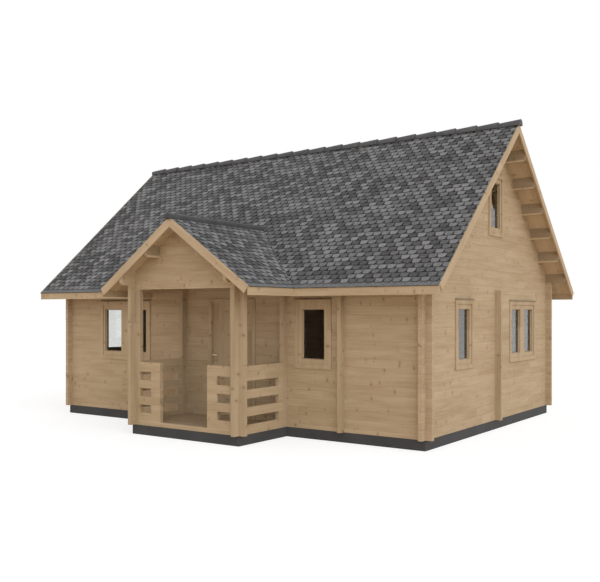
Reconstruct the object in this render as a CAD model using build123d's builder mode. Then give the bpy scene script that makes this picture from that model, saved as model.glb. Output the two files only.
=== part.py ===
# Log house with a gabled main roof and a gabled front porch, in millimetres.
# The origin is on the ground under the middle of the house, +X runs along the ridge,
# the porch and the front door are on the -Y side, and +Z is up.
import os
from math import cos, pi, radians, sin, tan

from build123d import *

os.makedirs("parts", exist_ok=True)

# House body
house_length = 8130
house_depth = 5650
plinth_height = 164

# Logs: the side walls start with a whole log, the front and back walls with a half one
log_height = 140
log_thickness = 70
log_end = 110
log_groove = 6
wall_courses = 18
cross_end_courses = 16.5
cross_tongue_step = 4

# Floors
floor_thickness = 65
floor_board = 28
floor_bearer_width = 60
floor_bearer_count = 9
joist_width = 70
joist_spacing = 600
joist_bearing = 35
attic_board = 28

# Porch
porch_centre = 320
porch_width = 2356
porch_depth = 1270
rail_courses = 7.5
rail_cap = 28
entrance_left = 524
entrance_right = 521
front_rail_stile = 211
side_rail_stile = 115

# Main roof, with heights along the top edge of the boards that close its edges
eave_purlin_height = 122
main_pitch = 41.9
eave_overhang = 411
gable_overhang = 436
edge_board = 24
fascia_height = 139
barge_width = 115
shingle_layer = 12
roof_drop = 50
purlin_width = 70
purlin_height = 150
purlin_count = 5
ridge_purlin_place = 400
nose_radius = 70
nose_sides = 3

# Porch roof
porch_pitch = 35.1
porch_side_overhang = 436
porch_front_overhang = 328
porch_purlin_place = 565
porch_barge_width = 130

# Ridge tiles
tile_length = 410
tile_radius = 72
tile_small_radius = 46
tile_side = 38
tile_top_sides = 5
tile_seat = 24
tile_end_overhang = 30
porch_cover_radius = 60
porch_cover_side = 40
porch_cover_seat = 40

# Windows
casing_width = 70
casing_thickness = 18
casing_lap = 30
sash_depth = 62
glass_recess = 46
glass_thickness = 8
ground_opening_height = 831
ground_opening_drop = 542
ground_margin = 154
single_opening = 440
single_margin = 142
double_opening = 466
double_margin = 120
double_mullion = 218
attic_opening = 400
attic_opening_height = 805
attic_opening_drop = 992
attic_margin = 136

# Window places, and the crossing log ends beside the front window, from what stands next to them
front_double_offset = 1592
front_single_offset = 567
inner_cross_offset = 570
back_single_offset = 1065
right_single_offset = 1435
left_single_offset = 1215
gable_double_offset = 1458

# Front door
door_offset = 23
doorway_width = 1006
doorway_drop = 394
jamb = 30
door_stop = 15
door_stop_depth = 25
threshold_rise = 15
door_casing = 67
door_casing_lap = 30
leaf_thickness = 40
door_gap = 5
board_count = 7
board_groove = 5
handle_height = 1091
handle_backset = 45
rose_width = 34
rose_height = 200
rose_thickness = 8
lever_radius = 9
lever_sides = 8
lever_standoff = 45
lever_length = 110

# Door hinges
hinge_count = 2
hinge_pin_radius = 5
hinge_bore_clearance = 0.4
hinge_knuckle_radius = 8.5
hinge_knuckle_sides = 12
hinge_knuckle_height = 48
hinge_knuckle_gap = 1.5
hinge_plate_thickness = 4
hinge_plate_width = 32
hinge_stand = 10
hinge_end_distance = 260

# Levels and faces worked out from the sizes above
wall_top = plinth_height + wall_courses * log_height
cross_top = plinth_height + cross_end_courses * log_height
joist_bottom = cross_top - log_height
floor_top = plinth_height + floor_thickness
rail_top = plinth_height + rail_courses * log_height
front_face = -house_depth / 2
front_centre = front_face + log_thickness / 2
front_inside = front_face + log_thickness
gable_face = house_length / 2
gable_centre = gable_face - log_thickness / 2
porch_left = porch_centre - porch_width / 2
porch_right = porch_centre + porch_width / 2
porch_left_log = porch_left + log_thickness / 2
porch_right_log = porch_right - log_thickness / 2
porch_face = front_face - porch_depth
porch_front_log = porch_face + log_thickness / 2
post_arm = log_thickness / 2 + log_end
front_double_place = porch_left_log - front_double_offset
front_single_place = porch_right_log + front_single_offset
inner_cross_place = front_single_place + inner_cross_offset
back_single_place = back_single_offset - gable_face
right_single_place = front_face + right_single_offset
left_single_place = front_face + left_single_offset
gable_double_place = -front_face - gable_double_offset
door_centre = porch_centre - door_offset
doorway_top = wall_top - doorway_drop
ground_opening_sill = wall_top - ground_opening_drop - ground_opening_height

# Roof planes
main_slope = tan(radians(main_pitch))
porch_slope = tan(radians(porch_pitch))
eave_height = wall_top + eave_purlin_height + roof_drop - eave_overhang * main_slope
eave_line = house_depth / 2 + eave_overhang
barge_line = house_length / 2 + gable_overhang
porch_eave = porch_width / 2 + porch_side_overhang
porch_barge_line = porch_face - porch_front_overhang
main_apex = eave_height + eave_line * main_slope
porch_apex = eave_height + porch_eave * porch_slope
valley_back = -eave_line + porch_eave * porch_slope / main_slope
barge_drop = barge_width * (1 + main_slope**2) ** 0.5
porch_barge_drop = porch_barge_width * (1 + porch_slope**2) ** 0.5
roof_inside = barge_line - edge_board
attic_opening_sill = main_apex - attic_opening_drop - attic_opening_height

# Joists share out the bays between the rows of crossing logs, so none meets a row
bay_edges = [-gable_centre, porch_left_log, porch_right_log, inner_cross_place, gable_centre]
joist_places = []
for bay_start, bay_end in zip(bay_edges, bay_edges[1:]):
    bay_parts = max(round((bay_end - bay_start) / joist_spacing), 1)
    for i in range(1, bay_parts):
        joist_places.append(bay_start + i * (bay_end - bay_start) / bay_parts)


def main_line(y):
    """Height of the main roof's edge line over a place across the house."""
    return main_apex - abs(y) * main_slope


def porch_line(x):
    """Height of the porch roof's edge line over a place along the house."""
    return porch_apex - abs(x - porch_centre) * porch_slope


def valley_line(x):
    """Place across the house where the porch roof meets the main roof."""
    return valley_back - abs(x - porch_centre) * porch_slope / main_slope


def along_x(x, y):
    """Plane across a wall that runs along X."""
    return Plane(origin=(x, y, 0), x_dir=(0, 1, 0), z_dir=(1, 0, 0))


def along_y(x, y):
    """Plane across a wall that runs along Y."""
    return Plane(origin=(x, y, 0), x_dir=(-1, 0, 0), z_dir=(0, 1, 0))


def wall_plane(y):
    """Plane along a wall that runs along X, seen from the front."""
    return Plane(origin=(0, y, 0), x_dir=(1, 0, 0), z_dir=(0, -1, 0))


front_plane = Plane(origin=(0, front_face, 0), x_dir=(1, 0, 0), z_dir=(0, -1, 0))
back_plane = Plane(origin=(0, -front_face, 0), x_dir=(-1, 0, 0), z_dir=(0, 1, 0))
right_plane = Plane(origin=(gable_face, 0, 0), x_dir=(0, 1, 0), z_dir=(1, 0, 0))
left_plane = Plane(origin=(-gable_face, 0, 0), x_dir=(0, -1, 0), z_dir=(-1, 0, 0))


def outline_face(*points):
    """Face inside straight edges."""
    with BuildLine() as outline:
        Polyline(*points, close=True)
    make_face(outline.edges())


def log_stack(bottom, top, first_log, outside):
    """Outline of stacked logs seen from their ends, grooved on the outside where two logs meet."""
    face = outside * log_thickness / 2
    groove = face - outside * log_groove
    weather_side = [(face, bottom)]
    joint = plinth_height + first_log
    while joint < top - log_groove:
        if joint > bottom + log_groove:
            weather_side.append((face, joint - log_groove))
            weather_side.append((groove, joint))
            weather_side.append((face, joint + log_groove))
        joint += log_height
    outline_face(*weather_side, (face, top), (-face, top), (-face, bottom))


def logs_along_x(start, end, centre, bottom, top, outside):
    """Logs of a wall that runs along X, from a half log up, with its outside to -Y or +Y."""
    with BuildSketch(along_x(start, centre)) as section:
        log_stack(bottom, top, log_height / 2, outside)
    extrude(section.sketch, amount=end - start)


def logs_along_y(start, end, centre, bottom, top, outside):
    """Logs of a wall that runs along Y, from a whole log up, with its outside to -X or +X."""
    with BuildSketch(along_y(centre, start)) as section:
        log_stack(bottom, top, log_height, -outside)
    extrude(section.sketch, amount=end - start)


def crossing_spans(first_centre, bottom, top):
    """Heights that one wall's logs keep where two walls cross: the middle half of each log."""
    spans = []
    centre = plinth_height + first_centre
    while centre - log_height / 4 < top:
        low = max(centre - log_height / 4, bottom)
        high = min(centre + log_height / 4, top)
        if high > low:
            spans.append((low, high))
        centre += log_height
    return spans


def notches(places, spans):
    """Rectangles, seen along the other wall's logs, where those logs pass through a wall."""
    for height in sorted({high - low for low, high in spans}):
        middles = [(low + high) / 2 for low, high in spans if high - low == height]
        with Locations(*[(place, middle) for place in places for middle in middles]):
            Rectangle(log_thickness, height)


def x_log_spans(bottom, top):
    """Heights that the logs along X keep at a crossing."""
    return crossing_spans(0, bottom, top)


def y_log_spans(bottom, top):
    """Heights that the logs along Y keep at a crossing."""
    return crossing_spans(log_height / 2, bottom, top)


# The crossing log ends between the corners hold in the walls by a tongue in every few courses
tongue_spans_x = x_log_spans(plinth_height, cross_top)[::cross_tongue_step]
tongue_spans_y = y_log_spans(plinth_height, cross_top)[::cross_tongue_step]


def joist_pockets():
    """Rectangles where the attic joists rest in a wall."""
    with Locations(*[(x, (joist_bottom + cross_top) / 2) for x in joist_places]):
        Rectangle(joist_width, log_height)


class Window:
    """One kind of window: its openings, the margin round them and its place up the wall."""

    def __init__(self, panes, width, height, sill, margin):
        self.panes = panes
        self.width = width
        self.height = height
        self.sill = sill
        self.margin = margin
        self.full_width = panes * width + (panes - 1) * double_mullion + 2 * margin
        self.full_height = height + 2 * ground_margin
        self.middle = sill + height / 2

    def pane_places(self, centre):
        """Middle of each pane for a window at this place along its wall."""
        pitch = self.width + double_mullion
        first = centre - (self.panes - 1) / 2 * pitch
        return [(first + i * pitch, self.middle) for i in range(self.panes)]


single_window = Window(1, single_opening, ground_opening_height, ground_opening_sill, single_margin)
double_window = Window(2, double_opening, ground_opening_height, ground_opening_sill, double_margin)
attic_window = Window(1, attic_opening, attic_opening_height, attic_opening_sill, attic_margin)

front_windows = [(front_double_place, double_window), (front_single_place, single_window)]
back_windows = [(porch_centre, double_window), (back_single_place, single_window)]
upper_windows = [(gable_double_place, double_window), (0, attic_window)]
right_windows = [(right_single_place, single_window)] + upper_windows
left_windows = [(left_single_place, single_window)] + upper_windows


def window_holes(windows):
    """Rectangles in a wall that the window frames fill."""
    for place, kind in windows:
        with Locations((place, kind.middle)):
            Rectangle(kind.full_width - 2 * casing_lap, kind.full_height - 2 * casing_lap)


def mirrored(windows):
    """The same windows on a plane that is seen from the other side."""
    return [(-place, kind) for place, kind in windows]


def add_window_frames(plane, windows):
    """Casing on the wall's face, and the sash behind it in the hole."""
    for place, kind in windows:
        with BuildSketch(plane) as casing:
            with Locations((place, kind.middle)):
                Rectangle(kind.full_width, kind.full_height)
                Rectangle(
                    kind.full_width - 2 * casing_width,
                    kind.full_height - 2 * casing_width,
                    mode=Mode.SUBTRACT,
                )
        extrude(casing.sketch, amount=casing_thickness)
        with BuildSketch(plane) as sash:
            with Locations((place, kind.middle)):
                Rectangle(kind.full_width - 2 * casing_lap, kind.full_height - 2 * casing_lap)
            with Locations(*kind.pane_places(place)):
                Rectangle(kind.width, kind.height, mode=Mode.SUBTRACT)
        extrude(sash.sketch, amount=-sash_depth)


def add_window_glass(plane, windows):
    """Panes set back in the sashes."""
    for place, kind in windows:
        with BuildSketch(plane.offset(-glass_recess)) as panes:
            with Locations(*kind.pane_places(place)):
                Rectangle(kind.width, kind.height)
        extrude(panes.sketch, amount=-glass_thickness)


# Foundation: one slab under the house and one under the porch
with BuildPart() as house_foundation:
    with BuildSketch():
        Rectangle(house_length, house_depth)
    extrude(amount=plinth_height)

with BuildPart() as porch_foundation:
    with BuildSketch():
        with Locations((porch_centre, front_face - porch_depth / 2)):
            Rectangle(porch_width, porch_depth)
    extrude(amount=plinth_height)

# Floors: boards on bearers that lie on the foundation
inner_length = house_length - 2 * log_thickness
inner_depth = house_depth - 2 * log_thickness
bearer_height = floor_thickness - floor_board

with BuildPart() as house_floor:
    with BuildSketch(Plane.XY.offset(floor_top - floor_board)):
        Rectangle(inner_length, inner_depth)
    extrude(amount=floor_board)
    with BuildSketch(Plane.XY.offset(plinth_height)):
        bearer_spacing = (inner_depth - floor_bearer_width) / (floor_bearer_count - 1)
        with GridLocations(0, bearer_spacing, 1, floor_bearer_count):
            Rectangle(inner_length, floor_bearer_width)
    extrude(amount=bearer_height)

porch_floor_length = porch_width - 2 * log_thickness
porch_floor_depth = porch_depth - log_thickness

with BuildPart() as porch_floor:
    with BuildSketch(Plane.XY.offset(floor_top - floor_board)):
        with Locations((porch_centre, front_face - porch_floor_depth / 2)):
            Rectangle(porch_floor_length, porch_floor_depth)
    extrude(amount=floor_board)
    with BuildSketch(Plane.XY.offset(plinth_height)):
        with Locations((porch_centre, front_face - porch_floor_depth / 2)):
            with GridLocations(0, porch_floor_depth - floor_bearer_width, 1, 2):
                Rectangle(porch_floor_length, floor_bearer_width)
    extrude(amount=bearer_height)

# Front wall, in three pieces beside and over the doorway
doorway_left = door_centre - doorway_width / 2
doorway_right = door_centre + doorway_width / 2

with BuildPart() as front_wall_left:
    logs_along_x(-gable_face - log_end, doorway_left, front_centre, plinth_height, wall_top, -1)
    with BuildSketch(wall_plane(front_centre)):
        notches([-gable_centre], y_log_spans(plinth_height, wall_top))
        notches([porch_left_log], tongue_spans_y)
        window_holes(front_windows[:1])
    extrude(amount=log_thickness, both=True, mode=Mode.SUBTRACT)
    with BuildSketch(wall_plane(front_inside)):
        joist_pockets()
    extrude(amount=joist_bearing, mode=Mode.SUBTRACT)

with BuildPart() as front_wall_right:
    logs_along_x(doorway_right, gable_face + log_end, front_centre, plinth_height, wall_top, -1)
    with BuildSketch(wall_plane(front_centre)):
        notches([gable_centre], y_log_spans(plinth_height, wall_top))
        notches([porch_right_log, inner_cross_place], tongue_spans_y)
        window_holes(front_windows[1:])
    extrude(amount=log_thickness, both=True, mode=Mode.SUBTRACT)
    with BuildSketch(wall_plane(front_inside)):
        joist_pockets()
    extrude(amount=joist_bearing, mode=Mode.SUBTRACT)

with BuildPart() as front_wall_over_door:
    logs_along_x(doorway_left, doorway_right, front_centre, doorway_top, wall_top, -1)
    with BuildSketch(wall_plane(front_inside)):
        joist_pockets()
    extrude(amount=joist_bearing, mode=Mode.SUBTRACT)

# Back wall
with BuildPart() as back_wall:
    logs_along_x(-gable_face - log_end, gable_face + log_end, -front_centre, plinth_height, wall_top, 1)
    with BuildSketch(wall_plane(-front_centre)):
        notches([-gable_centre, gable_centre], y_log_spans(plinth_height, wall_top))
        notches([inner_cross_place], tongue_spans_y)
        window_holes(back_windows)
    extrude(amount=log_thickness, both=True, mode=Mode.SUBTRACT)
    with BuildSketch(wall_plane(-front_inside)):
        joist_pockets()
    extrude(amount=-joist_bearing, mode=Mode.SUBTRACT)

# Purlins under the main roof, bevelled to its slope
eave_purlin_place = house_depth / 2 - purlin_width / 2
purlin_spacing = (eave_purlin_place - ridge_purlin_place) / purlin_count
purlin_places = [ridge_purlin_place + i * purlin_spacing for i in range(purlin_count)]


def purlin_bottom(place):
    """Height of a purlin's underside: the lowest purlin lies on top of the wall."""
    if place == eave_purlin_place:
        return wall_top
    return main_line(place + purlin_width / 2) - roof_drop - purlin_height


def purlin_faces(side):
    """Sections of the purlins of one slope."""
    for place in [eave_purlin_place] + purlin_places:
        outer = place + purlin_width / 2
        inner = place - purlin_width / 2
        outline_face(
            (side * outer, purlin_bottom(place)),
            (side * inner, purlin_bottom(place)),
            (side * inner, main_line(inner) - roof_drop),
            (side * outer, main_line(outer) - roof_drop),
        )


def nose(end, bottom, inward):
    """Points round the lower corner of a beam's end, from its end down to its underside."""
    points = []
    for i in range(nose_sides + 1):
        turn = pi / 2 * i / nose_sides
        along = nose_radius * (1 - cos(turn))
        rise = nose_radius * (1 - sin(turn))
        points.append((end + inward * along, bottom + rise))
    return points


def add_purlins(side):
    """Purlins of one slope, rounded at both lower ends and bevelled under the roof."""
    for place in [eave_purlin_place] + purlin_places:
        left_nose = nose(-roof_inside, purlin_bottom(place), 1)
        right_nose = nose(roof_inside, purlin_bottom(place), -1)
        with BuildSketch(wall_plane(side * place)) as elevation:
            outline_face(
                *left_nose,
                *reversed(right_nose),
                (roof_inside, main_line(place - purlin_width)),
                (-roof_inside, main_line(place - purlin_width)),
            )
        extrude(elevation.sketch, amount=purlin_width / 2, both=True)
    with BuildSketch(along_x(-roof_inside, 0)) as roof_space:
        outline_face(
            (0, 0),
            (0, main_apex - roof_drop),
            (side * eave_line, eave_height - roof_drop),
            (side * eave_line, 0),
        )
    extrude(roof_space.sketch, amount=2 * roof_inside, mode=Mode.INTERSECT)


with BuildPart() as front_purlins:
    add_purlins(-1)

with BuildPart() as back_purlins:
    add_purlins(1)


def gable_wall(side, windows):
    """Side wall of logs, up to the underside of the roof, notched for the purlins."""
    reach = house_depth / 2 + log_end
    shoulder = house_depth / 2 - log_thickness
    logs_along_y(-reach, reach, side * gable_centre, plinth_height, main_apex, side)
    with BuildSketch(along_x(side * gable_centre, 0)) as gable:
        outline_face(
            (-reach, plinth_height),
            (reach, plinth_height),
            (reach, wall_top),
            (shoulder, wall_top),
            (shoulder, main_line(shoulder) - roof_drop),
            (0, main_apex - roof_drop),
            (-shoulder, main_line(shoulder) - roof_drop),
            (-shoulder, wall_top),
            (-reach, wall_top),
        )
    extrude(gable.sketch, amount=log_thickness, both=True, mode=Mode.INTERSECT)
    with BuildSketch(along_x(side * gable_centre, 0)) as cuts:
        purlin_faces(-1)
        purlin_faces(1)
        notches([front_centre, -front_centre], x_log_spans(plinth_height, wall_top))
        notches([0], tongue_spans_x)
        window_holes(windows)
    extrude(cuts.sketch, amount=log_thickness, both=True, mode=Mode.SUBTRACT)


with BuildPart() as left_gable_wall:
    gable_wall(-1, left_windows)

with BuildPart() as right_gable_wall:
    gable_wall(1, right_windows)

# Ends of the logs that cross the outer walls, with their tongues in the walls' notches
front_cross_places = [porch_left_log, porch_right_log, inner_cross_place]
front_end_middle = front_face - log_end / 2
gable_end_middle = gable_face + log_end / 2

with BuildPart() as cross_log_ends:
    with BuildSketch(Plane.XY.offset(plinth_height)):
        with Locations(*[(x, front_end_middle) for x in front_cross_places]):
            Rectangle(log_thickness, log_end)
        with Locations((inner_cross_place, -front_end_middle)):
            Rectangle(log_thickness, log_end)
        with Locations((-gable_end_middle, 0), (gable_end_middle, 0)):
            Rectangle(log_end, log_thickness)
    extrude(amount=cross_top - plinth_height)
    with BuildSketch(wall_plane(front_face)):
        notches(front_cross_places, tongue_spans_y)
    extrude(amount=-log_thickness)
    with BuildSketch(wall_plane(-front_face)):
        notches([inner_cross_place], tongue_spans_y)
    extrude(amount=log_thickness)
    with BuildSketch(along_x(gable_face, 0)):
        notches([0], tongue_spans_x)
    extrude(amount=-log_thickness)
    with BuildSketch(along_x(-gable_face, 0)):
        notches([0], tongue_spans_x)
    extrude(amount=log_thickness)

# Attic joists from the front wall's pockets to the back wall's, and the boards on them
joist_length = house_depth - 2 * (log_thickness - joist_bearing)

with BuildPart() as attic_joists:
    with Locations(*[(x, 0, (joist_bottom + cross_top) / 2) for x in joist_places]):
        Box(joist_width, joist_length, log_height)

with BuildPart() as attic_floor:
    with BuildSketch(Plane.XY.offset(cross_top)):
        Rectangle(inner_length, inner_depth)
    extrude(amount=attic_board)

# Porch posts: crossed planks, as wide as the log ends, up to the beam
with BuildPart() as porch_posts:
    with BuildSketch(Plane.XY.offset(plinth_height)):
        with Locations((porch_left_log, porch_front_log), (porch_right_log, porch_front_log)):
            Rectangle(2 * post_arm, log_thickness)
            Rectangle(log_thickness, 2 * post_arm)
    extrude(amount=cross_top - plinth_height)

# Porch sill: the half log that starts the front of the porch, between the posts
left_post_edge = porch_left_log + post_arm
right_post_edge = porch_right_log - post_arm
sill_top = plinth_height + log_height / 2

with BuildPart() as porch_sill:
    logs_along_x(left_post_edge, right_post_edge, porch_front_log, plinth_height, sill_top, -1)

# Porch rails: logs with open courses between them and a plain cap
entrance_left_edge = porch_centre - entrance_left
entrance_right_edge = porch_centre + entrance_right
rail_slots = [i * 2 * log_height for i in range(int(rail_courses / 2))]


def front_rail(start, end, slot_start, slot_end):
    """Rail beside the entrance, with three open courses."""
    logs_along_x(start, end, porch_front_log, sill_top, rail_top, -1)
    with Locations(((start + end) / 2, porch_front_log, rail_top + rail_cap / 2)):
        Box(end - start, log_thickness, rail_cap)
    slot_places = [sill_top + log_height * 1.5 + slot for slot in rail_slots]
    with Locations(*[((slot_start + slot_end) / 2, porch_front_log, z) for z in slot_places]):
        Box(slot_end - slot_start, log_thickness, log_height, mode=Mode.SUBTRACT)


with BuildPart() as porch_front_rails:
    left_slot_end = entrance_left_edge - front_rail_stile
    front_rail(left_post_edge, entrance_left_edge, left_post_edge, left_slot_end)
    right_slot_start = entrance_right_edge + front_rail_stile
    front_rail(entrance_right_edge, right_post_edge, right_slot_start, right_post_edge)

side_rail_front = porch_front_log + post_arm
side_rail_back = front_centre - post_arm

with BuildPart() as porch_side_rails:
    for place, outside in ((porch_left_log, -1), (porch_right_log, 1)):
        logs_along_y(side_rail_front, side_rail_back, place, plinth_height, rail_top, outside)
        with Locations((place, (side_rail_front + side_rail_back) / 2, rail_top + rail_cap / 2)):
            Box(log_thickness, side_rail_back - side_rail_front, rail_cap)
        slot_end = side_rail_back - side_rail_stile
        slot_places = [plinth_height + log_height * 1.5 + slot for slot in rail_slots]
        with Locations(*[(place, (side_rail_front + slot_end) / 2, z) for z in slot_places]):
            Box(log_thickness, slot_end - side_rail_front, log_height, mode=Mode.SUBTRACT)

# Porch beams along both sides, bevelled to the porch roof and half a log higher in front of the
# posts, and the porch's log gable
porch_edge_inside = porch_barge_line + edge_board
post_front = porch_front_log - post_arm
beam_end_bottom = cross_top + log_height / 2


def porch_bevel(place):
    """Section under the porch roof over one side of the porch."""
    outer = place - log_thickness / 2
    inner = place + log_thickness / 2
    outline_face(
        (outer, cross_top),
        (inner, cross_top),
        (inner, porch_line(inner) - roof_drop),
        (outer, porch_line(outer) - roof_drop),
    )


with BuildPart() as porch_side_beams:
    for place, outside in ((porch_left_log, -1), (porch_right_log, 1)):
        logs_along_y(porch_edge_inside, front_face, place, cross_top, porch_apex, outside)
    with BuildSketch(Plane.XZ):
        for place in (porch_left_log, porch_right_log):
            porch_bevel(place)
    extrude(amount=-porch_edge_inside, mode=Mode.INTERSECT)
    with BuildSketch(along_x(porch_left, 0)):
        notches([porch_front_log], x_log_spans(cross_top, porch_apex))
        outline_face(
            (porch_edge_inside, cross_top),
            *nose(porch_edge_inside, beam_end_bottom, 1),
            (post_front, beam_end_bottom),
            (post_front, cross_top),
        )
    extrude(amount=porch_width, mode=Mode.SUBTRACT)


porch_purlin_places = (porch_centre - porch_purlin_place, porch_centre + porch_purlin_place)
porch_purlin_outer = porch_centre + porch_purlin_place + purlin_width / 2
porch_purlin_bottom = porch_line(porch_purlin_outer) - roof_drop - purlin_height


def porch_purlin_faces():
    """Sections of the porch purlins, one under each slope."""
    for place in porch_purlin_places:
        left = place - purlin_width / 2
        right = place + purlin_width / 2
        outline_face(
            (left, porch_purlin_bottom),
            (right, porch_purlin_bottom),
            (right, porch_line(right) - roof_drop),
            (left, porch_line(left) - roof_drop),
        )


with BuildPart() as porch_purlins:
    for place in porch_purlin_places:
        with BuildSketch(along_x(place, 0)):
            outline_face(
                *nose(porch_edge_inside, porch_purlin_bottom, 1),
                (front_face, porch_purlin_bottom),
                (front_face, porch_apex),
                (porch_edge_inside, porch_apex),
            )
        extrude(amount=purlin_width / 2, both=True)
    with BuildSketch(Plane.XZ.offset(-front_face)):
        outline_face(
            (porch_centre - porch_eave, 0),
            (porch_centre + porch_eave, 0),
            (porch_centre + porch_eave, eave_height - roof_drop),
            (porch_centre, porch_apex - roof_drop),
            (porch_centre - porch_eave, eave_height - roof_drop),
        )
    extrude(amount=front_face - porch_edge_inside, mode=Mode.INTERSECT)

with BuildPart() as porch_gable_wall:
    gable_reach = porch_width / 2 + log_end
    gable_left = porch_centre - gable_reach
    gable_right = porch_centre + gable_reach
    logs_along_x(gable_left, gable_right, porch_front_log, cross_top, porch_apex, -1)
    with BuildSketch(Plane.XZ):
        outline_face(
            (gable_left, cross_top),
            (gable_right, cross_top),
            (gable_right, porch_line(gable_right) - roof_drop),
            (porch_centre, porch_apex - roof_drop),
            (gable_left, porch_line(gable_left) - roof_drop),
        )
    extrude(amount=-porch_face, mode=Mode.INTERSECT)
    with BuildSketch(Plane.XZ):
        porch_purlin_faces()
        notches([porch_left_log, porch_right_log], y_log_spans(cross_top, porch_apex))
    extrude(amount=-porch_face, mode=Mode.SUBTRACT)


def main_roof_slope(side):
    """Boarded slope of the main roof, between the boards that close its edges."""
    edge = eave_line - edge_board
    with BuildSketch(along_x(-roof_inside, 0)) as section:
        outline_face(
            (0, main_apex - shingle_layer),
            (side * edge, main_line(edge) - shingle_layer),
            (side * edge, main_line(edge) - roof_drop),
            (0, main_apex - roof_drop),
        )
    extrude(section.sketch, amount=2 * roof_inside)


# Main roof: the front slope is cut out along the valleys where the porch roof joins it
with BuildPart() as main_roof_front:
    main_roof_slope(-1)
    with BuildSketch():
        outline_face(
            (porch_centre - porch_eave, valley_line(porch_centre + porch_eave)),
            (porch_centre + porch_eave, valley_line(porch_centre + porch_eave)),
            (porch_centre, valley_back),
        )
    extrude(amount=main_apex, mode=Mode.SUBTRACT)

with BuildPart() as main_roof_back:
    main_roof_slope(1)


def porch_roof_slope(side):
    """Boarded slope of the porch roof, from its front edge back to the valley."""
    edge = porch_centre + side * (porch_eave - edge_board)
    with BuildSketch(Plane.XZ.offset(-valley_back)) as section:
        outline_face(
            (porch_centre, porch_apex - shingle_layer),
            (edge, porch_line(edge) - shingle_layer),
            (edge, porch_line(edge) - roof_drop),
            (porch_centre, porch_apex - roof_drop),
        )
    extrude(section.sketch, amount=valley_back - porch_edge_inside)
    with BuildSketch() as plan:
        outline_face(
            (porch_centre, porch_edge_inside),
            (edge, porch_edge_inside),
            (edge, valley_line(edge)),
            (porch_centre, valley_back),
        )
    extrude(plan.sketch, amount=main_apex, mode=Mode.INTERSECT)


with BuildPart() as porch_roof_left:
    porch_roof_slope(-1)

with BuildPart() as porch_roof_right:
    porch_roof_slope(1)


def main_barge(side, slope):
    """Sloping board along one edge of a gable, upright at the ridge and cut square at the eave."""
    start = roof_inside if side > 0 else -barge_line
    end_shift = barge_width * sin(radians(main_pitch))
    end_drop = barge_width * cos(radians(main_pitch))
    with BuildSketch(along_x(start, 0)) as section:
        outline_face(
            (0, main_apex),
            (slope * eave_line, eave_height),
            (slope * (eave_line - end_shift), eave_height - end_drop),
            (0, main_apex - barge_drop),
        )
    extrude(section.sketch, amount=edge_board)


# Boards along the gable edges and the eaves
with BuildPart() as front_barge_boards:
    for gable_side in (-1, 1):
        main_barge(gable_side, -1)

with BuildPart() as back_barge_boards:
    for gable_side in (-1, 1):
        main_barge(gable_side, 1)


def porch_barge(side):
    """Sloping board along one edge of the porch gable, cut flat under the ridge cover."""
    edge = porch_centre + side * porch_eave
    flat = porch_apex - porch_cover_seat
    flat_half = porch_cover_seat / porch_slope
    end_shift = porch_barge_width * sin(radians(porch_pitch))
    end_drop = porch_barge_width * cos(radians(porch_pitch))
    with BuildSketch(Plane.XZ.offset(-porch_edge_inside)) as section:
        outline_face(
            (porch_centre, flat),
            (porch_centre + side * flat_half, flat),
            (edge, eave_height),
            (edge - side * end_shift, eave_height - end_drop),
            (porch_centre, porch_apex - porch_barge_drop),
        )
    extrude(section.sketch, amount=edge_board)


with BuildPart() as porch_barge_left:
    porch_barge(-1)

with BuildPart() as porch_barge_right:
    porch_barge(1)

fascia_middle = eave_height - fascia_height / 2
fascia_place = eave_line - edge_board / 2
porch_gap_left = porch_centre - porch_eave + edge_board
porch_gap_right = porch_centre + porch_eave - edge_board

with BuildPart() as front_fascias:
    for start, end in ((-roof_inside, porch_gap_left), (porch_gap_right, roof_inside)):
        with Locations(((start + end) / 2, -fascia_place, fascia_middle)):
            Box(end - start, edge_board, fascia_height)

with BuildPart() as back_fascia:
    with Locations((0, fascia_place, fascia_middle)):
        Box(2 * roof_inside, edge_board, fascia_height)

with BuildPart() as porch_side_fascias:
    fascia_length = -eave_line - porch_edge_inside
    for side in (-1, 1):
        place = porch_centre + side * (porch_eave - edge_board / 2)
        with Locations((place, porch_edge_inside + fascia_length / 2, fascia_middle)):
            Box(edge_board, fascia_length, fascia_height)


# Main ridge: tapered round-backed tiles, each lapping over the next, notched over the ridge
def round_back(radius, spring):
    """Corners of a round back in flats, over the whole width between two upright sides."""
    turns = [pi * i / tile_top_sides for i in range(tile_top_sides + 1)]
    return [(radius * cos(turn), spring + radius * sin(turn)) for turn in turns]


def ridge_tile_end(x, radius):
    """Corners of one end of a ridge tile: a round back, upright sides and a notch for the ridge."""
    bottom = main_apex - tile_seat
    seat_half = tile_seat / main_slope
    notch = [(-seat_half, bottom), (0, main_apex), (seat_half, bottom)]
    back = round_back(radius, bottom + tile_side)
    return [(x, y, z) for y, z in (*back, (-radius, bottom), *notch, (radius, bottom))]


ridge_length = 2 * barge_line + tile_end_overhang
tile_count = round(ridge_length / tile_length)
tile_step = ridge_length / tile_count

with BuildPart() as ridge_tile:
    small_end = ridge_tile_end(-barge_line, tile_small_radius)
    large_end = ridge_tile_end(-barge_line + tile_step, tile_radius)
    faces = [Face(Wire.make_polygon(end)) for end in (small_end, large_end)]
    for i in range(len(small_end)):
        corners = (small_end[i - 1], small_end[i], large_end[i], large_end[i - 1])
        faces.append(Face(Wire.make_polygon(corners)))
    add(Solid(Shell(faces)))

with BuildPart() as main_ridge_cap:
    with Locations(*[(i * tile_step, 0, 0) for i in range(tile_count)]):
        add(ridge_tile.part)

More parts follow.
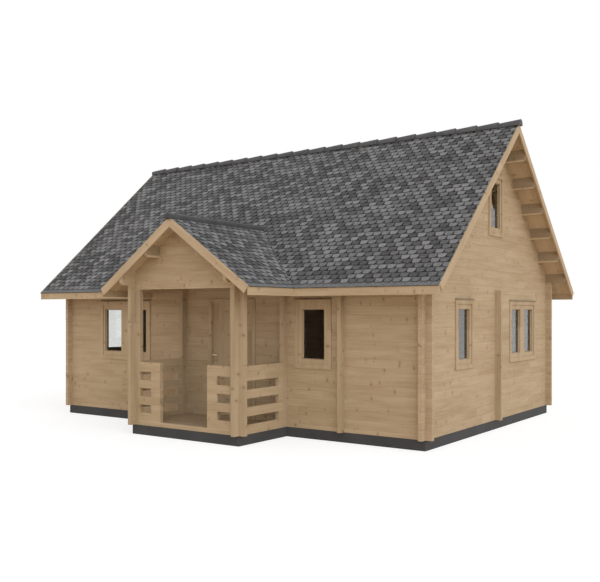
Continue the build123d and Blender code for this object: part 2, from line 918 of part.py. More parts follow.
# Porch ridge: a round-backed cover, notched over the ridge and cut along the main roof behind it
cover_bottom = porch_apex - porch_cover_seat
cover_spring = cover_bottom + porch_cover_side
cover_seat_half = (porch_cover_seat - shingle_layer) / porch_slope
cover_front = porch_barge_line - tile_end_overhang
cover_back = -(main_apex - cover_spring - porch_cover_radius) / main_slope

with BuildPart() as porch_ridge_cap:
    with BuildSketch(Plane.XZ.offset(-cover_front)):
        outline_face(
            *[(porch_centre + x, z) for x, z in round_back(porch_cover_radius, cover_spring)],
            (porch_centre - porch_cover_radius, cover_bottom),
            (porch_centre - cover_seat_half, cover_bottom),
            (porch_centre, porch_apex - shingle_layer),
            (porch_centre + cover_seat_half, cover_bottom),
            (porch_centre + porch_cover_radius, cover_bottom),
        )
    extrude(amount=cover_front - cover_back)
    with BuildSketch(along_x(porch_centre - porch_cover_radius, 0)):
        outline_face((-eave_line, eave_height), (0, main_apex), (0, eave_height))
    extrude(amount=2 * porch_cover_radius, mode=Mode.SUBTRACT)

# Windows
with BuildPart() as front_window_frames:
    add_window_frames(front_plane, front_windows)

with BuildPart() as back_window_frames:
    add_window_frames(back_plane, mirrored(back_windows))

with BuildPart() as left_window_frames:
    add_window_frames(left_plane, mirrored(left_windows))

with BuildPart() as right_window_frames:
    add_window_frames(right_plane, right_windows)

with BuildPart() as window_glass:
    add_window_glass(front_plane, front_windows)
    add_window_glass(back_plane, mirrored(back_windows))
    add_window_glass(left_plane, mirrored(left_windows))
    add_window_glass(right_plane, right_windows)

# Door frame: jambs with stops and a threshold in the wall, and a casing on its face
threshold_top = floor_top + threshold_rise
clear_left = doorway_left + jamb
clear_right = doorway_right - jamb
clear_top = doorway_top - jamb


def door_rectangle(left, right, bottom, top, mode=Mode.ADD):
    """Upright rectangle in the plane of the front wall."""
    with Locations(((left + right) / 2, (bottom + top) / 2)):
        Rectangle(right - left, top - bottom, mode=mode)


with BuildPart() as door_frame:
    with BuildSketch(front_plane):
        door_rectangle(doorway_left, doorway_right, plinth_height, doorway_top)
        door_rectangle(clear_left, clear_right, threshold_top, clear_top, Mode.SUBTRACT)
    extrude(amount=-log_thickness)
    with BuildSketch(front_plane):
        door_rectangle(clear_left, clear_right, threshold_top, clear_top)
        stop_left = clear_left + door_stop
        stop_right = clear_right - door_stop
        door_rectangle(stop_left, stop_right, threshold_top, clear_top - door_stop, Mode.SUBTRACT)
    extrude(amount=-door_stop_depth)
    with BuildSketch(front_plane):
        casing_left = doorway_left - door_casing_lap
        casing_right = doorway_right + door_casing_lap
        casing_top = doorway_top + door_casing_lap
        door_rectangle(casing_left, casing_right, floor_top, casing_top)
        inner_left = casing_left + door_casing
        inner_right = casing_right - door_casing
        door_rectangle(inner_left, inner_right, floor_top, casing_top - door_casing, Mode.SUBTRACT)
    extrude(amount=casing_thickness)

# Door leaf of upright boards, inside the stops
leaf_left = clear_left + door_gap
leaf_right = clear_right - door_gap
leaf_bottom = threshold_top + door_gap
leaf_top = clear_top - door_gap
leaf_outside = front_inside - leaf_thickness
leaf_plane = front_plane.offset(front_face - leaf_outside)
board_pitch = (leaf_right - leaf_left) / board_count

with BuildPart() as front_door:
    with BuildSketch(leaf_plane):
        door_rectangle(leaf_left, leaf_right, leaf_bottom, leaf_top)
    extrude(amount=-leaf_thickness)
    with BuildSketch(Plane.XY.offset(leaf_bottom)):
        board_joints = [leaf_left + (i + 1) * board_pitch for i in range(board_count - 1)]
        with Locations(*[(x, leaf_outside) for x in board_joints]):
            Rectangle(board_groove, board_groove, rotation=45)
    extrude(amount=leaf_top - leaf_bottom, mode=Mode.SUBTRACT)

# Door handles: a plate, a neck and a lever on each face of the leaf
handle_x = leaf_left + handle_backset
handle_z = floor_top + handle_height
lever_turn = lever_standoff + rose_thickness


def door_handle(face, direction):
    """Handle on one face of the leaf, pointing away from it."""
    plane = Plane(origin=(handle_x, face, handle_z), x_dir=(1, 0, 0), z_dir=(0, direction, 0))
    with BuildSketch(plane) as rose:
        Rectangle(rose_width, rose_height)
    extrude(rose.sketch, amount=rose_thickness)
    with BuildSketch(plane) as neck:
        RegularPolygon(lever_radius, lever_sides)
    extrude(neck.sketch, amount=lever_turn)
    lever_plane = Plane(
        origin=(handle_x - lever_radius, face + direction * lever_turn, handle_z),
        x_dir=(0, 1, 0),
        z_dir=(1, 0, 0),
    )
    with BuildSketch(lever_plane) as lever:
        RegularPolygon(lever_radius, lever_sides)
    extrude(lever.sketch, amount=lever_length)


with BuildPart() as door_handles:
    door_handle(leaf_outside, -1)
    door_handle(front_inside, 1)

# Hinges: each has a pin in a knuckle on the frame, and a sleeve on the leaf that turns on it
hinge_x = leaf_right + door_gap / 2
hinge_y = front_inside + hinge_stand
hinge_reach = (leaf_top - leaf_bottom) - 2 * hinge_end_distance
hinge_step = hinge_reach / (hinge_count - 1)
hinge_places = [leaf_bottom + hinge_end_distance + i * hinge_step for i in range(hinge_count)]
sleeve_lift = hinge_knuckle_height + hinge_knuckle_gap


def hinge_plate(bottom, start, end):
    """Flat plate of a hinge on the inner face of the door or its frame."""
    plate_y = front_inside + hinge_plate_thickness / 2
    with Locations(((start + end) / 2, plate_y, bottom + hinge_knuckle_height / 2)):
        Box(end - start, hinge_plate_thickness, hinge_knuckle_height)


with BuildPart() as door_hinge_pins:
    for height in hinge_places:
        with BuildSketch(Plane.XY.offset(height)):
            with Locations((hinge_x, hinge_y)):
                RegularPolygon(hinge_knuckle_radius, hinge_knuckle_sides)
        extrude(amount=hinge_knuckle_height)
        hinge_plate(height, hinge_x, hinge_x + hinge_plate_width)
        with BuildSketch(Plane.XY.offset(height)):
            with Locations((hinge_x, hinge_y)):
                Circle(hinge_pin_radius)
        extrude(amount=sleeve_lift + hinge_knuckle_height)

with BuildPart() as door_hinge_sleeves:
    for height in hinge_places:
        with BuildSketch(Plane.XY.offset(height + sleeve_lift)):
            with Locations((hinge_x, hinge_y)):
                RegularPolygon(hinge_knuckle_radius, hinge_knuckle_sides)
        extrude(amount=hinge_knuckle_height)
        hinge_plate(height + sleeve_lift, hinge_x - hinge_plate_width, hinge_x)
        with BuildSketch(Plane.XY.offset(height + sleeve_lift)):
            with Locations((hinge_x, hinge_y)):
                Circle(hinge_pin_radius + hinge_bore_clearance)
        extrude(amount=hinge_knuckle_height, mode=Mode.SUBTRACT)

pieces = {
    "house_foundation": house_foundation,
    "porch_foundation": porch_foundation,
    "house_floor": house_floor,
    "porch_floor": porch_floor,
    "front_wall_left": front_wall_left,
    "front_wall_right": front_wall_right,
    "front_wall_over_door": front_wall_over_door,
    "back_wall": back_wall,
    "left_gable_wall": left_gable_wall,
    "right_gable_wall": right_gable_wall,
    "cross_log_ends": cross_log_ends,
    "attic_joists": attic_joists,
    "attic_floor": attic_floor,
    "porch_posts": porch_posts,
    "porch_sill": porch_sill,
    "porch_front_rails": porch_front_rails,
    "porch_side_rails": porch_side_rails,
    "porch_side_beams": porch_side_beams,
    "porch_purlins": porch_purlins,
    "porch_gable_wall": porch_gable_wall,
    "front_purlins": front_purlins,
    "back_purlins": back_purlins,
    "main_roof_front": main_roof_front,
    "main_roof_back": main_roof_back,
    "porch_roof_left": porch_roof_left,
    "porch_roof_right": porch_roof_right,
    "front_barge_boards": front_barge_boards,
    "back_barge_boards": back_barge_boards,
    "porch_barge_left": porch_barge_left,
    "porch_barge_right": porch_barge_right,
    "front_fascias": front_fascias,
    "back_fascia": back_fascia,
    "porch_side_fascias": porch_side_fascias,
    "main_ridge_cap": main_ridge_cap,
    "porch_ridge_cap": porch_ridge_cap,
    "front_window_frames": front_window_frames,
    "back_window_frames": back_window_frames,
    "left_window_frames": left_window_frames,
    "right_window_frames": right_window_frames,
    "window_glass": window_glass,
    "door_frame": door_frame,
    "front_door": front_door,
    "door_handles": door_handles,
    "door_hinge_pins": door_hinge_pins,
    "door_hinge_sleeves": door_hinge_sleeves,
}

for name, piece in pieces.items():
    piece.part.label = name
    export_step(piece.part, f"parts/{name}.step")
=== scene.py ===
# %% [markdown]
# # A log house, dressed for its picture
# The solids of the house are already made and measured. This lesson loads them, sets up the
# camera and the light, gives every piece of wood, stone, glass and metal a finish, and models
# what is too small or too many for the solids: the shingles with their starter strips, the
# strips under the ridge tiles, and the beads and drip strips of the windows. All lengths are in
# metres, apart from the lens.

from math import atan2, cos, pi, radians, tan

import bpy
import numpy as np
from mathutils import Matrix, Vector


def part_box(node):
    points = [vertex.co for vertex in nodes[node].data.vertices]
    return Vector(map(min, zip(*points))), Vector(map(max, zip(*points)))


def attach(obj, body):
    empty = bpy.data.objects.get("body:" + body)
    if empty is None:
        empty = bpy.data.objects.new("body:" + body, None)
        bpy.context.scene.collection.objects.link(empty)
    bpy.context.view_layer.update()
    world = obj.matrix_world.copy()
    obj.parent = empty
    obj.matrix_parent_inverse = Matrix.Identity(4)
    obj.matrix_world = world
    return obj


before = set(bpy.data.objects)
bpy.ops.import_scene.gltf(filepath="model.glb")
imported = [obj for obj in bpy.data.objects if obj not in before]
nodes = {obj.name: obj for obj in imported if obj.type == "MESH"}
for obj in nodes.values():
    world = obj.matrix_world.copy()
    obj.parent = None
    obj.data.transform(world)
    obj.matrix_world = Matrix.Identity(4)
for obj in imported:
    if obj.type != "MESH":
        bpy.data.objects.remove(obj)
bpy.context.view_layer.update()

# %% [markdown]
# ## Camera
# The picture shows two sides of the house from a little above a standing person's eyes.
# Upright edges stay upright in it, so the camera looks level and its frame is moved up a
# little, as on a view camera, instead of tilting.

# %% Level camera
LENS_MM = 48.26
SENSOR_MM = 36
IMAGE_WIDTH = 600
HORIZON_BELOW_MIDDLE = 20.23
CAMERA_PLACE = (9.4401, -13.7904, 2.1049)
CAMERA_TURN = radians(34.974)
FAR_LIMIT = 400
camera_data = bpy.data.cameras.new("picture_camera")
camera_data.lens = LENS_MM
camera_data.sensor_width = SENSOR_MM
camera_data.sensor_fit = "HORIZONTAL"
camera_data.shift_y = HORIZON_BELOW_MIDDLE / IMAGE_WIDTH
camera_data.clip_end = FAR_LIMIT
camera = bpy.data.objects.new("picture_camera", camera_data)
camera.location = CAMERA_PLACE
camera.rotation_euler = (radians(90), 0, CAMERA_TURN)
bpy.context.scene.collection.objects.link(camera)
bpy.context.scene.camera = camera
print("camera at", tuple(camera.location))

# %% [markdown]
# ## Helpers for nodes
# Every finish below is a small chain of nodes. Written out in full, each chain would fill a
# page, so short helpers start a finish, add a node, do a step of arithmetic, turn one range of
# values into another and blend two colours. The last one tells what is seen, straight on or in
# metal and glass, from what only throws light on other things.

# %% Node helpers


def new_finish(name):
    """A material with one shader, and its node tree."""
    material = bpy.data.materials.new(name)
    material.use_nodes = True
    return material, material.node_tree, material.node_tree.nodes["Principled BSDF"]


def put(tree, kind, inputs, **settings):
    """Adds a node, with its settings, and each input linked or set."""
    made = tree.nodes.new("ShaderNode" + kind)
    for key, value in settings.items():
        setattr(made, key, value)
    for key, value in inputs.items():
        if isinstance(value, bpy.types.NodeSocket):
            tree.links.new(value, made.inputs[key])
        else:
            made.inputs[key].default_value = value
    return made


def work(tree, operation, *values):
    """Adds a sum, product or other step of arithmetic and gives its result."""
    return put(tree, "Math", dict(enumerate(values)), operation=operation).outputs[0]


def ramp(tree, value, low, high, start=0.0, end=1.0):
    """Turns a value between low and high into one between start and end, smoothly."""
    inputs = {"Value": value, "From Min": low, "From Max": high, "To Min": start, "To Max": end}
    made = put(tree, "MapRange", inputs, interpolation_type="SMOOTHSTEP")
    return made.outputs["Result"]


def blend_colours(tree, share, first, second):
    """Mixes two colours, or colour sockets, by a share."""
    made = put(tree, "Mix", {0: share}, data_type="RGBA")
    for socket, colour in ((made.inputs[6], first), (made.inputs[7], second)):
        if isinstance(colour, bpy.types.NodeSocket):
            tree.links.new(colour, socket)
        else:
            socket.default_value = (*colour, 1)
    return made.outputs[2]


def seen_directly(tree):
    """1 for what is seen, straight on or in metal and glass, and 0 for light on the rest."""
    path = put(tree, "LightPath", {}).outputs
    shine = work(tree, "MAXIMUM", path["Is Glossy Ray"], path["Is Transmission Ray"])
    return work(tree, "MAXIMUM", path["Is Camera Ray"], shine)


print("helpers ready")

# %% [markdown]
# ## Light
# The house stands in soft studio light on a white floor. A wide sky of even light fills the
# shade under the eaves, and one broad lamp to the right makes the gable the brightest side.
# A small sharp lamp would draw hard shadows of the eaves, which the picture doesn't have.

# %% Sky and lamp
SKY_COLOUR = (1.0, 0.93, 0.865, 1)
SKY_STRENGTH = 0.62
LAMP_COLOUR = (0.94, 1.0, 1.03)
LAMP_ENERGY = 1.55
LAMP_SPREAD = radians(70)
LAMP_SIDE = Vector((0.74, -0.48, 0.62))
scene = bpy.context.scene
scene.view_settings.view_transform = "Standard"
world = bpy.data.worlds.new("studio")
world.use_nodes = True
scene.world = world
tree = world.node_tree
tree.nodes.clear()
sky = put(tree, "Background", {"Color": SKY_COLOUR, "Strength": SKY_STRENGTH})
white = put(tree, "Background", {"Color": (1, 1, 1, 1), "Strength": 1.0})
shown = put(tree, "MixShader", {0: seen_directly(tree), 1: sky.outputs[0], 2: white.outputs[0]})
put(tree, "OutputWorld", {"Surface": shown.outputs[0]})

lamp_data = bpy.data.lights.new("broad_lamp", "SUN")
lamp_data.energy = LAMP_ENERGY
lamp_data.angle = LAMP_SPREAD
lamp_data.color = LAMP_COLOUR
lamp = bpy.data.objects.new("broad_lamp", lamp_data)
lamp.rotation_euler = LAMP_SIDE.to_track_quat("Z", "Y").to_euler()
scene.collection.objects.link(lamp)
print("sky", SKY_STRENGTH, "lamp", LAMP_ENERGY)

# %% [markdown]
# The floor and many pieces of the house start as a flat sheet. Each could be drawn corner by
# corner, but a plane that is added, scaled and then settled, with its place, turn and scale put
# into its mesh, needs only a size and a middle.

# %% Flat sheets
UPRIGHT = (radians(90), 0, 0)


def pick(piece):
    """Leaves only this piece selected, and makes it the active one."""
    bpy.ops.object.select_all(action="DESELECT")
    piece.select_set(True)
    bpy.context.view_layer.objects.active = piece


def settle(piece):
    """Puts a piece's place, turn and scale into its mesh."""
    pick(piece)
    bpy.ops.object.transform_apply(location=True, rotation=True, scale=True)


def flat_sheet(size, middle=(0, 0, 0), turn=(0, 0, 0)):
    """A plane of a given width and length, settled at its place."""
    bpy.ops.object.select_all(action="DESELECT")
    bpy.ops.mesh.primitive_plane_add(size=1, location=middle, rotation=turn)
    sheet = bpy.context.object
    sheet.scale = (*size, 1)
    settle(sheet)
    return sheet


print("flat sheets ready")

# %% [markdown]
# The floor throws back warm light, which gives the shade under the eaves its brown tone. Where
# the camera sees it, it has an even glow, so it comes out white and keeps a faint shadow at the
# plinth.

# %% Floor
FLOOR_SIZE = (300, 300)
FLOOR_WARMTH = (0.94, 0.78, 0.62, 1)
FLOOR_SEEN = (0.40, 0.41, 0.43, 1)
FLOOR_GLOW = 0.70
floor = flat_sheet(FLOOR_SIZE)
floor.name = "studio_floor"
floor_finish, tree, plain = new_finish("floor_white")
plain.inputs["Base Color"].default_value = FLOOR_WARMTH
plain.inputs["Roughness"].default_value = 0.9
plain.inputs["Specular IOR Level"].default_value = 0.0
pale = put(tree, "BsdfDiffuse", {"Color": FLOOR_SEEN})
glow = put(tree, "Emission", {"Strength": FLOOR_GLOW})
lit = put(tree, "AddShader", {0: pale.outputs[0], 1: glow.outputs[0]})
shown = put(tree, "MixShader", {0: seen_directly(tree), 1: plain.outputs[0], 2: lit.outputs[0]})
tree.links.new(shown.outputs[0], tree.nodes["Material Output"].inputs["Surface"])
floor.data.materials.append(floor_finish)
print("floor of", tuple(floor.dimensions))

# %% [markdown]
# Glass mirrors what stands opposite it. In the picture the front panes are nearly black, so a
# dark card stands where they look, as a photographer would put one. Only glass and metal show
# it: the camera doesn't see it, and it takes no light from the house.

# %% Dark card
CARD_MIDDLE = (-12.0, -15.0, 2.6)
CARD_SIZE = (20.0, 5.2)
CARD_COLOUR = (0.13, 0.095, 0.065, 1)
card = flat_sheet(CARD_SIZE, CARD_MIDDLE, UPRIGHT)
card.name = "dark_card"
card.visible_camera = False
card.visible_diffuse = False
card.visible_shadow = False
card_finish, tree, plain = new_finish("card_black")
plain.inputs["Base Color"].default_value = CARD_COLOUR
plain.inputs["Roughness"].default_value = 0.95
card.data.materials.append(card_finish)
print("card of", tuple(card.dimensions))

# %% [markdown]
# ## Wood
# Planed spruce is pale, with soft streaks along the grain, wide faint clouds and a few brown
# knots. A photograph of boards would show all that, but it would also repeat. Here the pattern
# is worked out from the place on the house. All the finishes below need the same few steps for
# that: read the place, draw a soft random pattern, weigh patterns against each other, brighten a
# colour and raise a pattern from the surface.

# %% Pattern helpers


def place_on(tree):
    """The place on the house."""
    return put(tree, "TexCoord", {}).outputs["Object"]


def noise(tree, place, scale, detail, **more):
    """A soft random pattern between 0 and 1."""
    inputs = {"Vector": place, "Scale": scale, "Detail": detail, **more}
    return put(tree, "TexNoise", inputs).outputs["Fac"]


def weigh(tree, first, first_weight, second, second_weight):
    """The sum of two values, each times its weight."""
    first_part = work(tree, "MULTIPLY", first, first_weight)
    return work(tree, "ADD", first_part, work(tree, "MULTIPLY", second, second_weight))


def swing(tree, value, weight):
    """Turns a value between 0 and 1 into a swing to both sides of 0."""
    return work(tree, "MULTIPLY", work(tree, "SUBTRACT", value, 0.5), weight)


def brighten(tree, colour, value, share=1.0):
    """A brighter colour, or a darker one where the value is under 1."""
    inputs = {"Color": colour, "Value": value, "Fac": share}
    return put(tree, "HueSaturation", inputs).outputs[0]


def emboss(tree, shader, height, strength, distance):
    """Raises a pattern from the surface, in the light alone."""
    made = put(tree, "Bump", {"Height": height, "Strength": strength, "Distance": distance})
    tree.links.new(made.outputs[0], shader.inputs["Normal"])


print("pattern helpers ready")

# %% [markdown]
# A wall is laid from logs, and each log from lengths of timber that meet end to end. The place
# across gives the log or board, the place along gives the length, and a random number for each
# length shifts its tone and its grain. So no two neighbours look alike, and no picture has to be
# wrapped round the house.

# %% Lengths of timber
AXES = {"X": 0, "Y": 1, "Z": 2}
LANE_SHIFT = 9.0


def lengths_of_timber(tree, run, side, board, start, length):
    """Counts boards across and lengths along them, with a random number for each length."""
    lane = work(tree, "DIVIDE", work(tree, "SUBTRACT", side, start), board)
    lane_number = work(tree, "FLOOR", lane)
    shift = put(tree, "TexWhiteNoise", {"W": lane_number}, noise_dimensions="1D").outputs["Value"]
    shift = work(tree, "MULTIPLY", shift, LANE_SHIFT)
    piece = work(tree, "ADD", work(tree, "DIVIDE", run, length), shift)
    key = put(tree, "CombineXYZ", {0: lane_number, 1: work(tree, "FLOOR", piece), 2: 0.5})
    chance = put(tree, "TexWhiteNoise", {"Vector": key.outputs[0]}, noise_dimensions="3D")
    return lane, piece, chance.outputs["Value"]


def border(tree, count, size):
    """Distance to the nearer edge of a board, or end of a length, from the count of them."""
    share = work(tree, "FRACT", count)
    nearer = work(tree, "MINIMUM", share, work(tree, "SUBTRACT", 1.0, share))
    return work(tree, "MULTIPLY", nearer, size)


print("lanes shifted by up to", LANE_SHIFT, "lengths")

# %% [markdown]
# Grain is a random pattern that is stretched along the log. A fine one makes the streaks and a
# broad one the clouds. Knots come from a pattern of cells: each cell has a knot in its middle,
# with a size of its own and a ring of deeper wood round it. Knots set by hand would be more
# exact, but there are hundreds of them.

# %% Grain and knots
LIGHT_WOOD = (0.502, 0.392, 0.266)
DEEP_WOOD = (0.370, 0.271, 0.163)
KNOT_WOOD = (0.190, 0.108, 0.050)
STREAKS = {"along": 1.6, "across": 42.0}
CLOUDS = {"along": 1.1, "across": 7.0}
KNOTS_ALONG = 5.0
KNOTS_ACROSS = 2.6
KNOT_REACH = 0.100
TONE_SWING = 0.12


def stretch(tree, axes, slide, along, across):
    """A place for a pattern that is stretched along the grain and moved for each length."""
    run, side, rest = axes
    return put(tree, "CombineXYZ", {
        0: work(tree, "ADD", work(tree, "MULTIPLY", run, along), slide),
        1: work(tree, "MULTIPLY", side, across),
        2: work(tree, "MULTIPLY", rest, across),
    }).outputs[0]


def grain(tree, axes, slide, chance):
    """The streaks of the wood, and its colour with streaks and clouds."""
    streaks = noise(tree, stretch(tree, axes, slide, **STREAKS), scale=1.0, detail=5.0,
                    Roughness=0.6, Distortion=0.35)
    clouds = noise(tree, stretch(tree, axes, slide, **CLOUDS), scale=1.0, detail=2.0)
    depth = weigh(tree, streaks, 0.55, clouds, 0.65)
    depth = work(tree, "ADD", depth, swing(tree, chance, TONE_SWING))
    share = ramp(tree, depth, low=0.30, high=0.95)
    return streaks, blend_colours(tree, share, LIGHT_WOOD, DEEP_WOOD)


def add_knots(tree, colour, axes, slide):
    """The colour of the wood with its knots, and the share of the knots."""
    run, side, rest = axes
    place = put(tree, "CombineXYZ", {
        0: work(tree, "ADD", work(tree, "MULTIPLY", run, KNOTS_ALONG), slide),
        1: work(tree, "MULTIPLY", work(tree, "ADD", side, rest), KNOTS_ACROSS),
    }).outputs[0]
    cells = put(tree, "TexVoronoi", {"Vector": place, "Scale": 1.0, "Randomness": 1.0},
                voronoi_dimensions="2D", feature="F1").outputs
    chance = put(tree, "SeparateXYZ", {0: cells["Color"]}).outputs[0]
    size = ramp(tree, chance, low=0.20, high=1.0, start=0.15, end=1.0)
    away = work(tree, "DIVIDE", cells["Distance"], work(tree, "MULTIPLY", size, KNOT_REACH))
    ring = ramp(tree, away, low=0.8, high=3.0, start=0.40, end=0.0)
    knot = ramp(tree, away, low=0.30, high=1.15, start=0.62, end=0.0)
    colour = blend_colours(tree, ring, colour, DEEP_WOOD)
    return blend_colours(tree, knot, colour, KNOT_WOOD), knot


print("light wood", LIGHT_WOOD, "deep wood", DEEP_WOOD)

# %% [markdown]
# One function puts these together for every piece of wood. It is told which way the grain runs
# and how wide the boards are, and adds the thin dark joints between lengths. Floor boards also
# have a seam along their edges, and the grooves of logs are painted paler, as painted light
# that offsets the shade in them.

# %% Spruce
JOINT_WOOD = (0.200, 0.125, 0.062)
GRAIN_SLIDE = 40.0
GROOVE_PAINTED_LIGHT = 1.16
PAINTED_SHADE_VALUE = 0.58


def spruce(name, along, across, board, start=0.0, length=2.6, turn=(0, 0, 0), seam=0.0,
           groove=0.0, tone=1.0, shade=None):
    """Spruce with its grain along one axis, in boards laid side by side across another."""
    material, tree, shader = new_finish(name)
    place = place_on(tree)
    if any(turn):
        place = put(tree, "Mapping", {"Vector": place, "Rotation": turn}).outputs[0]
    parts = put(tree, "SeparateXYZ", {0: place}).outputs
    order = (AXES[along], AXES[across], 3 - AXES[along] - AXES[across])
    axes = [parts[axis] for axis in order]
    lane, piece, chance = lengths_of_timber(tree, axes[0], axes[1], board, start, length)
    slide = work(tree, "MULTIPLY", chance, GRAIN_SLIDE)
    streaks, colour = grain(tree, axes, slide, chance)
    colour, knot = add_knots(tree, colour, axes, slide)

    joint = ramp(tree, border(tree, piece, length), 0.0008, 0.003, start=0.22, end=0.0)
    if seam:
        line = ramp(tree, border(tree, lane, board), seam * 0.5, seam * 2.0, start=0.8, end=0.0)
        joint = work(tree, "MAXIMUM", joint, line)
    colour = blend_colours(tree, joint, colour, JOINT_WOOD)
    # Painted light: the colour near each groove is brightened to offset the shade in it.
    if groove:
        edge = border(tree, lane, board)
        painted_groove_light = ramp(tree, edge, groove * 0.8, groove * 1.3, start=1.0, end=0.0)
        colour = brighten(tree, colour, GROOVE_PAINTED_LIGHT, painted_groove_light)
    # Painted shade: darkens the colour by the share that the shade function gives, on purlins
    # above their lower edge.
    if shade:
        colour = brighten(tree, colour, PAINTED_SHADE_VALUE, shade(tree, parts))
    if tone != 1.0:
        colour = brighten(tree, colour, tone)
    tree.links.new(colour, shader.inputs["Base Color"])
    rough = ramp(tree, streaks, low=0.25, high=0.75, start=0.55, end=0.70)
    rough = work(tree, "SUBTRACT", rough, work(tree, "MULTIPLY", knot, 0.15))
    tree.links.new(rough, shader.inputs["Roughness"])
    height = work(tree, "SUBTRACT", work(tree, "MULTIPLY", streaks, -0.5), joint)
    emboss(tree, shader, height, strength=0.30, distance=0.0012)
    shader.inputs["Specular IOR Level"].default_value = 0.25
    return material


def finish(material, *names):
    """Gives a finish to CAD nodes."""
    for name in names:
        node = nodes[name]
        node.data.materials.clear()
        node.data.materials.append(material)
    print(material.name, "on", len(names), "nodes")


print("joints of", JOINT_WOOD)

# %% [markdown]
# The logs of the front and back walls start with half a log, so their joints lie half a log
# higher than those of the gable walls. The grooves between logs are painted a little paler than
# the faces, as painted light that offsets the shade in them. A post is one length of timber, so
# its lanes and lengths are larger than it is and it shows no joints.

# %% Logs and posts
PLINTH = 0.164
LOG = 0.140
GROOVE = 0.006
POST_TIMBER = {"board": 0.9, "start": 0.25, "length": 6.0}
logs_x = spruce("spruce_logs_front", "X", "Z", LOG, PLINTH + LOG / 2, groove=GROOVE)
logs_y = spruce("spruce_logs_gable", "Y", "Z", LOG, PLINTH, groove=GROOVE)
finish(logs_x, "front_wall_left", "front_wall_right", "front_wall_over_door", "back_wall",
       "porch_gable_wall", "porch_front_rails", "porch_sill")
finish(logs_y, "left_gable_wall", "right_gable_wall", "porch_side_rails", "porch_side_beams")
finish(spruce("spruce_posts", "Z", "X", **POST_TIMBER, tone=0.93), "porch_posts", "cross_log_ends")

# %% [markdown]
# Purlins carry the roof, and their ends and sides show under the eaves. A purlin's colour is
# painted pale along its lower edge, as painted light from the floor below, and darker above, as
# painted shade where the roof boards hide most of it. The edge slopes with the roof, so the
# height over it is worked out from the pitch, and one finish serves every purlin of a roof.

# %% Purlins and joists
MAIN_PITCH = radians(41.9)
PORCH_PITCH = radians(35.1)
MAIN_APEX = 5.3907
PORCH_APEX = 3.6215
PORCH_CENTRE = 0.320
PURLIN_WIDTH = 0.070
PURLIN_DROP = 0.200
PAINTED_LIGHT_EDGE = 0.026
PURLIN_PAINTED_LIGHT = 1.28
WHOLE_TIMBER = {"board": 3.0, "start": -0.4}


def purlin_shade(across, centre, apex, pitch):
    """Gives the share of a purlin's painted shade, from the height over its painted pale lower
    edge.
    """
    def share(tree, parts):
        out = work(tree, "ABSOLUTE", work(tree, "SUBTRACT", parts[AXES[across]], centre))
        fall = work(tree, "MULTIPLY", work(tree, "ADD", out, PURLIN_WIDTH), tan(pitch))
        lower_edge = work(tree, "SUBTRACT", apex - PURLIN_DROP, fall)
        above = work(tree, "SUBTRACT", parts[2], lower_edge)
        return ramp(tree, above, PAINTED_LIGHT_EDGE - 0.006, PAINTED_LIGHT_EDGE + 0.010)
    return share


# The high tone is painted light on each purlin's lower edge; the part above gets painted shade.
purlins_x = spruce("spruce_purlins", "X", "Z", **WHOLE_TIMBER, length=3.1, tone=PURLIN_PAINTED_LIGHT,
                   shade=purlin_shade("Y", 0.0, MAIN_APEX, MAIN_PITCH))
purlins_y = spruce("spruce_porch_purlins", "Y", "Z", **WHOLE_TIMBER, length=3.3, tone=PURLIN_PAINTED_LIGHT,
                   shade=purlin_shade("X", PORCH_CENTRE, PORCH_APEX, PORCH_PITCH))
finish(purlins_x, "front_purlins", "back_purlins")
finish(purlins_y, "porch_purlins")
finish(spruce("spruce_joists", "Y", "Z", **WHOLE_TIMBER, length=3.3), "attic_joists")

# %% [markdown]
# Boards close the roof along its eaves and its gables, and boards that run up the slope lie over
# the purlins and show under the eaves. Those on a slope have their grain along it, so the
# pattern is turned by the pitch before it is worked out. Boards cut from a sloping picture would
# need a map of their own for each slope.

# %% Boards of the roof
EAVE_TONE = 1.08
BARGE_TIMBER = {"board": 3.0, "start": -1.0, "length": 3.6, "tone": 1.06}
ROOF_BOARDS = {"board": 0.12, "length": 2.4, "tone": 1.12}
fascia_x = spruce("spruce_fascia", "X", "Z", **WHOLE_TIMBER, length=3.4, tone=EAVE_TONE)
fascia_y = spruce("spruce_porch_fascia", "Y", "Z", **WHOLE_TIMBER, length=3.4, tone=EAVE_TONE)
finish(fascia_x, "front_fascias", "back_fascia")
finish(fascia_y, "porch_side_fascias")
for barge, deck, along, across, turn in (
        ("front_barge_boards", "main_roof_front", "Y", "X", (-MAIN_PITCH, 0, 0)),
        ("back_barge_boards", "main_roof_back", "Y", "X", (MAIN_PITCH, 0, 0)),
        ("porch_barge_left", "porch_roof_left", "X", "Y", (0, PORCH_PITCH, 0)),
        ("porch_barge_right", "porch_roof_right", "X", "Y", (0, -PORCH_PITCH, 0))):
    finish(spruce("spruce_" + barge, along, "Z", turn=turn, **BARGE_TIMBER), barge)
    finish(spruce("boards_" + deck, along, across, turn=turn, **ROOF_BOARDS), deck)

# %% [markdown]
# Floors are laid from narrow boards with a dark seam between them, and those of the porch are
# painted darker, as painted shade for the shade under the porch roof. The door is made from
# seven upright boards. The frames of the windows and the door are plain upright timber without
# seams. Only the numbers differ, so the same function makes them all.

# %% Floors, joinery and door
FLOOR_BOARDS = {"board": 0.112, "start": -4.02, "length": 2.4, "seam": 0.003}
JOINERY_TIMBER = {"board": 1.9, "start": 0.35, "length": 2.7}
DOOR_WIDTH = 0.936
DOOR_MIDDLE = 0.297
DOOR_BOARDS = 7
finish(spruce("spruce_floor_boards", "X", "Y", **FLOOR_BOARDS), "house_floor", "attic_floor")
